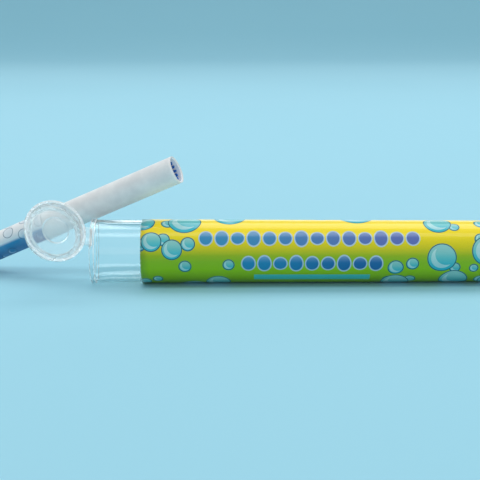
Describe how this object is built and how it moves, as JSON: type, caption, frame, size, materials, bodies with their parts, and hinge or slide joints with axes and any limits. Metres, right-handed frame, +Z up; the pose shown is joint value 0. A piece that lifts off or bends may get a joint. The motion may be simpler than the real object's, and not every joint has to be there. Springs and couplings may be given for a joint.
{
  "type": "bubble blowing cigarette",
  "caption": "Toy cigarette for blowing bubbles, hollow with a toothed insert in its tip, leaning behind the mouth of a clear flip-cap vial with a wrap label that lies open on its side.",
  "frame": {"origin": "bottom centre of the whole object as it lies in the picture", "axes": "+X along the vial from its mouth to its closed end, +Y away from the camera, +Z up"},
  "size_m": [0.2016, 0.0484, 0.0453],
  "materials": {
    "clear_vial": "clear, glossy",
    "clear_hinge": "clear, whitened by bending",
    "clear_cap": "clear, slightly milky",
    "printed_label": "glossy printed film, yellow to green",
    "white_tube": "matt",
    "white_paper": "matt white paper",
    "printed_paper": "matt paper printed in white and navy",
    "blue_insert": "satin",
    "white_sleeve": "satin"
  },
  "bodies": {
    "vial": {"vial_body": "clear_vial", "label_wrap": "printed_label", "hinge_film": "clear_hinge"},
    "cap": {"flip_cap": "clear_cap"},
    "cigarette": {"cig_core": "white_tube", "cig_wrap": "white_paper", "cig_tipping": "printed_paper", "bubble_nozzle": "blue_insert", "mouth_sleeve": "white_sleeve"}
  },
  "joints": [
    {"name": "cap_hinge", "type": "hinge", "parent": "vial", "child": "cap", "pos_m": [-0.04868, -0.01085, 0.01863], "axis": [-0.0037, -0.5417, -0.8406], "range_deg": [-55, 117], "stiffness_Nm_per_rad": 0.003},
    {"name": "cigarette_lift", "type": "slide", "parent": "vial", "child": "cigarette", "axis": [0, 0, 1], "range_m": [0, 0.06]}
  ]
}
